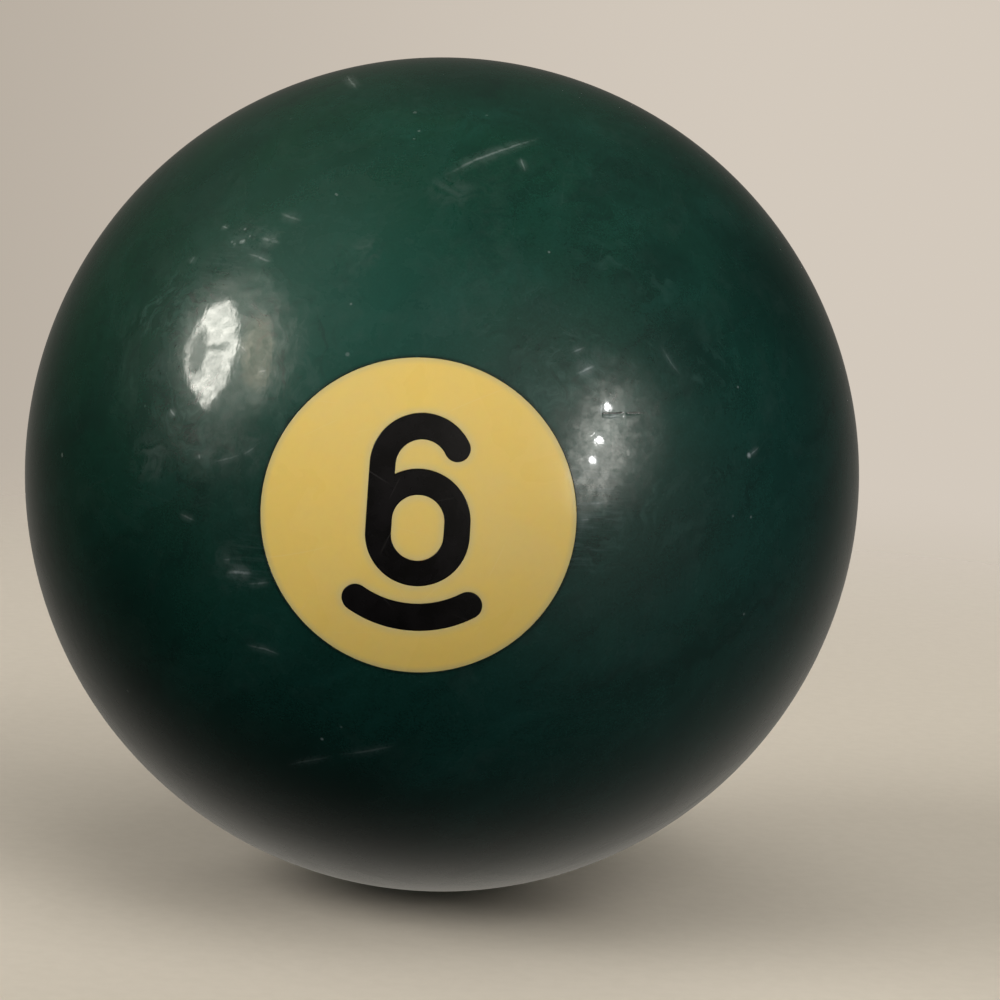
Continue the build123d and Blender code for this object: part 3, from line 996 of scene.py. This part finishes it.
# ---------------------------------------------------------------------------
# Air round the ball: broad soft lobes of light, a soft window and the glow
# round the lamps. Directions are from the ball.
# ---------------------------------------------------------------------------
SHARP = 7.0
WARM = (1.0, 0.95, 0.84)
LOBES = [
    ((0.498, -0.749, 0.438), 0.400), ((-0.667, -0.533, 0.521), 0.260), ((-0.680, -0.074, 0.729), 0.160),
    ((0.716, -0.690, -0.104), 0.184), ((-0.219, 0.766, -0.604), 0.176), ((0.261, 0.880, -0.396), 0.110),
    ((0.427, 0.124, 0.896), 0.060), ((-0.191, 0.953, 0.233), 0.034),
    ((0.408, 0.550, -0.729), 0.084), ((-0.312, 0.154, 0.938), 0.012), ((-0.113, 0.572, 0.812), 0.027),
    ((-0.628, -0.778, -0.021), 0.026), ((-0.550, 0.576, 0.604), 0.022), ((0.931, -0.189, -0.312), 0.020),
]
# corners of the window, in order
WINDOW = [(-0.7858, -0.1914, 0.5882), (-0.7744, -0.2947, 0.5599), (-0.7882, -0.4015, 0.4665),
          (-0.8341, -0.4482, 0.3215), (-0.8891, -0.4018, 0.2193), (-0.9193, -0.2745, 0.2819),
          (-0.9170, -0.1831, 0.3544), (-0.8803, -0.1423, 0.4526), (-0.8309, -0.1293, 0.5412)]
# patches: centre, and the two directions that measure across and down it
HOLLOW = ((-0.8871, -0.2325, 0.3988), (86.63, -130.77, 116.46), (-77.06, -99.31, -229.31))
BAND = ((-0.8433, -0.3112, 0.4382), (106.37, -128.59, 113.37), (-73.26, -105.83, -216.14))
GLOW_LEFT = ((-0.7983, -0.376, 0.4706), (123.35, -124.77, 109.56), (-68.95, -111.3, -205.89))
BROWN = ((-0.7361, -0.4868, 0.4726), (150.4, -115.47, 98.39), (-57.17, -117.8, -193.48))
LAMPS = ((0.6926, -0.6874, 0.2188), (146.41, 142.47, -15.85), (31.06, -42.04, -230.36))
BELOW = ((-0.892, -0.4345, 0.1246), (82.75, -155.35, 50.69), (-10.53, -51.82, -255.99))
BLOTCH = ((-0.8691, -0.3693, 0.329), (94.58, -140.65, 91.96), (-51.43, -88.27, -234.99))
GLOW_RIGHT = ((0.7077, -0.6542, 0.2667), (142.27, 144.34, -23.45), (38.57, -51.33, -228.28))


def patch(g, d, place, rx, ry, soft, tilt=0.0):
    """A soft-edged oval round a direction, measured in the patch's own units."""
    c, across, down = (Vector(v) for v in place)
    off = g.vec("SUBTRACT", d, tuple(c))
    a, b = g.vec("DOT_PRODUCT", off, tuple(across)), g.vec("DOT_PRODUCT", off, tuple(down))
    ct, st = math.cos(math.radians(tilt)), math.sin(math.radians(tilt))
    u = g.math("ADD", g.math("MULTIPLY", a, ct / rx), g.math("MULTIPLY", b, st / rx))
    v = g.math("ADD", g.math("MULTIPLY", a, -st / ry), g.math("MULTIPLY", b, ct / ry))
    r = g.math("SQRT", g.math("ADD", g.math("MULTIPLY", u, u), g.math("MULTIPLY", v, v)))
    return g.ramp(r, 1.0 - soft, 1.0 + soft, 1.0, 0.0)


def world():
    w = bpy.data.worlds.new("studio_air")
    bpy.context.scene.world = w
    w.use_nodes = True
    w.cycles.sampling_method = "MANUAL"
    w.cycles.sample_map_resolution = 512
    g = Nodes(w.node_tree)
    d = g.vec("NORMALIZE", g.add("ShaderNodeTexCoord").outputs["Generated"])
    total = 0.004
    for way, power in LOBES:
        e = g.math("EXPONENT", g.math("MULTIPLY_ADD", g.vec("DOT_PRODUCT", d, way), SHARP, -SHARP))
        total = g.math("MULTIPLY_ADD", e, power, total)
    # what the camera sees behind the floor: plain pale paper, a little darker to the left with painted shade
    side = g.ramp(g.xyz(d)[0], -0.31, 0.07)
    backdrop_shaded_left = g.mix(side, (0.450, 0.397, 0.335), (0.652, 0.584, 0.505))
    cam = g.add("ShaderNodeLightPath").outputs["Is Camera Ray"]
    bg = g.add("ShaderNodeBackground")
    g.put(bg.inputs["Color"], g.mix(cam, g.vec("SCALE", WARM, scale=total), backdrop_shaded_left))
    out = g.add("ShaderNodeOutputWorld")
    g.tree.links.new(bg.outputs[0], out.inputs["Surface"])


def card(name, way, size, paint):
    """A large glowing card, seen only in the ball's polish."""
    way = Vector(way).normalized()
    x = Vector((0, 0, 1)).cross(way).normalized()
    y = way.cross(x)
    at = way * 4.0
    me = bpy.data.meshes.new(name)
    me.from_pydata([at + x * i * size + y * j * size for i, j in ((-1, -1), (1, -1), (1, 1), (-1, 1))], [], [(0, 1, 2, 3)])
    o = bpy.data.objects.new(name, me)
    bpy.context.scene.collection.objects.link(o)
    m, g = material(name)
    d = g.vec("NORMALIZE", g.add("ShaderNodeNewGeometry").outputs["Position"])
    light = paint(g, d)
    glow = g.add("ShaderNodeEmission")
    g.put(glow.inputs["Color"], light)
    clear = g.add("ShaderNodeBsdfTransparent")
    both = g.add("ShaderNodeAddShader")
    g.tree.links.new(glow.outputs[0], both.inputs[0])
    g.tree.links.new(clear.outputs[0], both.inputs[1])
    out = g.add("ShaderNodeOutputMaterial")
    g.tree.links.new(both.outputs[0], out.inputs["Surface"])
    me.materials.append(m)
    o.visible_camera = o.visible_diffuse = o.visible_shadow = o.visible_transmission = False


def window_paint(g, d):
    warp = g.vec("SUBTRACT", g.noise(d, 22.0, 3.0, 0.6, colour=True), (0.5, 0.5, 0.5))
    wide = g.vec("ADD", d, g.vec("SCALE", warp, scale=0.14))
    d = g.vec("ADD", d, g.vec("SCALE", warp, scale=0.045))
    # smears that circle the highlight, as a polish does
    mid = Vector(HOLLOW[0])
    off = g.vec("SUBTRACT", d, tuple(mid))
    far = g.vec("LENGTH", off)
    ring = g.vec("ADD", g.vec("SCALE", g.vec("NORMALIZE", off), scale=1.6), g.vec("SCALE", (11.0, 7.0, 5.0), scale=far))
    rings = g.ramp(g.noise(ring, 2.6, 4.0, 0.7), 0.34, 0.66, 0.36, 1.72)
    glow = g.math("MULTIPLY", patch(g, wide, GLOW_LEFT, 54.0, 68.0, 0.30, 12.0), 1.14)
    reach = g.math("MULTIPLY", patch(g, wide, GLOW_LEFT, 70.0, 72.0, 0.95, 12.0), 0.12)
    below = g.math("MULTIPLY", patch(g, wide, BELOW, 40.0, 28.0, 0.80, 20.0), 0.40)
    glow = g.math("MULTIPLY", g.math("ADD", g.math("ADD", glow, reach), below), rings)
    glow = g.math("MULTIPLY", glow, g.ramp(g.noise(d, 16.0, 3.0, 0.6), 0.25, 0.75, 0.75, 1.45))
    crease = g.math("ABSOLUTE", g.math("SUBTRACT", g.noise(d, 34.0, 3.0, 0.65, 0.8), 0.5))
    glow = g.math("MULTIPLY", glow, g.ramp(crease, 0.0, 0.11, 0.55, 1.08))
    glow = g.math("MULTIPLY", glow, g.ramp(g.noise(d, 62.0, 4.0, 0.75), 0.38, 0.62, 0.62, 1.38))
    less = g.vec("ADD", d, g.vec("SCALE", warp, scale=0.03))
    brown = patch(g, less, BROWN, 15.0, 36.0, 0.25, 8.0)
    rim = g.math("SUBTRACT", patch(g, less, BROWN, 22.0, 44.0, 0.25, 8.0), brown)
    glow = g.math("MULTIPLY_ADD", g.math("MAXIMUM", rim, 0.0), 0.45, glow)
    glow = g.math("MULTIPLY_ADD", brown, 0.34, glow)
    total = g.vec("SCALE", g.mix(brown, (1.15, 1.10, 0.98), (2.00, 1.72, 1.36)), scale=glow)
    # the window, a soft-edged many-sided shape, with a dull hollow and a bar across it
    mid = sum((Vector(c) for c in WINDOW), Vector()).normalized()
    shape = None
    for a, b in zip(WINDOW, WINDOW[1:] + WINDOW[:1]):
        n = Vector(a).cross(Vector(b)).normalized()
        if n.dot(mid) < 0:
            n = -n
        side = g.ramp(g.vec("DOT_PRODUCT", d, tuple(n)), -0.010, 0.020)
        shape = side if shape is None else g.math("MULTIPLY", shape, side)
    hollow = patch(g, d, HOLLOW, 9.0, 25.0, 0.20, 12.0)
    band = patch(g, d, BAND, 12.0, 4.2, 0.40, -6.0)
    dull = g.math("MULTIPLY", g.math("MAXIMUM", hollow, band), 0.90)
    low = patch(g, d, BLOTCH, 26.0, 30.0, 0.25, 12.0)
    fibre = g.noise(g.vec("MULTIPLY", d, (1.0, 1.0, 0.22)), 62.0, 3.0, 0.7)
    curl = g.noise(d, 46.0, 3.0, 0.7, 1.6)
    shade = g.math("MULTIPLY", g.ramp(fibre, 0.40, 0.60, 0.42, 1.08),
                   g.math("SUBTRACT", 1.0, g.math("MULTIPLY", low, g.ramp(curl, 0.43, 0.56, 0.62, 0.0))))
    shade = g.math("MULTIPLY", shade, g.ramp(g.vec("DOT_PRODUCT", off, HOLLOW[2]), -55.0, 15.0, 0.72, 1.12))
    shine = g.math("MULTIPLY", g.math("MULTIPLY", shape, g.math("SUBTRACT", 1.0, dull)), shade)
    return g.vec("ADD", g.vec("SCALE", (15.5, 15.1, 13.6), scale=g.math("MULTIPLY", shine, 1.36)), total)


def lamps_paint(g, d):
    warp = g.vec("SUBTRACT", g.noise(d, 24.0, 3.0, 0.65, 0.6, colour=True), (0.5, 0.5, 0.5))
    d = g.vec("ADD", d, g.vec("SCALE", warp, scale=0.15))
    wide = patch(g, d, GLOW_RIGHT, 48.0, 64.0, 0.50, 14.0)
    core = patch(g, d, LAMPS, 24.0, 50.0, 0.60, 14.0)
    skin = g.ramp(g.noise(d, 30.0, 4.0, 0.75, 1.0), 0.40, 0.62, 0.40, 1.75)
    ridge = g.math("ABSOLUTE", g.math("SUBTRACT", g.noise(d, 36.0, 3.0, 0.6, 0.8), 0.5))
    skin = g.math("MULTIPLY", skin, g.ramp(ridge, 0.0, 0.110, 0.35, 1.1))
    glow = g.math("MULTIPLY", g.math("MULTIPLY_ADD", core, 4.8, g.math("MULTIPLY", wide, 1.30)), skin)
    return g.vec("SCALE", (1.0, 0.98, 0.90), scale=glow)


world()
card("window_card", GLOW_LEFT[0], 2.6, window_paint)
card("lamps_card", GLOW_RIGHT[0], 1.9, lamps_paint)


def lamp(name, way, distance, size, radiance, colour=(1, 1, 1), gloss=False):
    """A round area light in a direction from the ball. It lights either the polish or the colour under it."""
    d = bpy.data.lights.new(name, "AREA")
    d.shape = "DISK"
    d.size = size
    d.energy = radiance * math.pi * math.pi / 4 * size * size
    d.color = colour
    o = bpy.data.objects.new(name, d)
    at = Vector(way).normalized() * distance
    o.location = at
    o.rotation_euler = (-at).to_track_quat("-Z", "Y").to_euler()
    o.visible_camera = False
    o.visible_glossy = gloss
    o.visible_diffuse = not gloss
    bpy.context.scene.collection.objects.link(o)
    return o


def linked(name, objects):
    """A set of objects for lights to be linked to."""
    c = bpy.data.collections.new(name)
    for o in objects:
        c.objects.link(o)
    return c


def soft_box(name, way, strength, colour, only=None):
    """A wide light without a highlight. strength is what it adds to a white surface facing it."""
    size, distance = 0.80, 1.2
    o = lamp(name, way, distance, size, strength * 4 * distance ** 2 / size ** 2, colour)
    if only:
        o.light_linking.receiver_collection = only
    return o


# three small bright lamps, seen only as highlights
lamp("lamp_high", (0.6905, -0.6095, 0.3894), 3.0, 0.082, 62.0, gloss=True)
lamp("lamp_mid", (0.6777, -0.6877, 0.2604), 3.0, 0.104, 62.0, gloss=True)
lamp("lamp_low", (0.6648, -0.7254, 0.1784), 3.0, 0.082, 62.0, gloss=True)
KEY = (1.0, 0.985, 0.94)
# for the number spots and the floor
pale = linked("pale_pieces", [o for o in PIECES if o.name != "green_body"] + [FLOOR])
soft_box("soft_window", (-0.78, -0.42, 0.47), 0.50, KEY, pale)
soft_box("soft_front", (0.46, -0.70, 0.55), 0.26, KEY, pale)
soft_box("soft_camera", (0.02, -0.99, -0.06), 0.27, KEY, pale)
soft_box("soft_right", (0.47, -0.34, 0.82), 0.18, KEY, pale)
soft_box("soft_top", (0.00, -0.17, 0.98), 0.17, KEY, pale)
# for the green, from higher up, so that its underside stays deep
dark = linked("dark_pieces", [o for o in PIECES if o.name == "green_body"])
soft_box("deep_left", (-0.40, -0.12, 0.90), 0.53, (1.0, 0.98, 0.72), dark)
soft_box("deep_front", (0.16, -0.76, 0.63), 0.32, (1.0, 1.0, 1.05), dark)
soft_box("deep_right", (0.42, -0.75, 0.51), 0.17, (1.0, 1.0, 1.12), dark)
soft_box("deep_low", (0.76, 0.32, -0.57), 0.08, (1.0, 1.0, 1.0), dark)
# the far side of the ball, out of the camera's sight
soft_box("soft_back", (0.15, 0.97, 0.20), 0.42, KEY)


# ---------------------------------------------------------------------------
# Camera, close and a little above the number, as in the photograph
# ---------------------------------------------------------------------------
def camera():
    c = bpy.data.cameras.new("camera")
    c.sensor_fit = "HORIZONTAL"
    c.sensor_width = 36.0
    c.lens = 2966.56 / 1000 * 36.0
    c.clip_start = 0.005
    c.clip_end = 50.0
    o = bpy.data.objects.new("camera", c)
    # rows: the camera's right, up and back axes in the ball's frame
    rows = Matrix(((0.996996479620602, 0.0364683399260651, 0.06832334745285636),
                   (-0.07166020398259777, 0.09979061979768726, 0.9924246305717963),
                   (0.029374049589718565, -0.9943399279841028, 0.10210422531546069)))
    at = Vector((10.0778, -204.1058, 19.5012)) * MM
    o.matrix_world = Matrix.Translation(at) @ rows.transposed().to_4x4()
    bpy.context.scene.collection.objects.link(o)
    bpy.context.scene.camera = o


camera()
bpy.context.scene.view_settings.view_transform = "Standard"
bpy.context.scene.view_settings.look = "None"
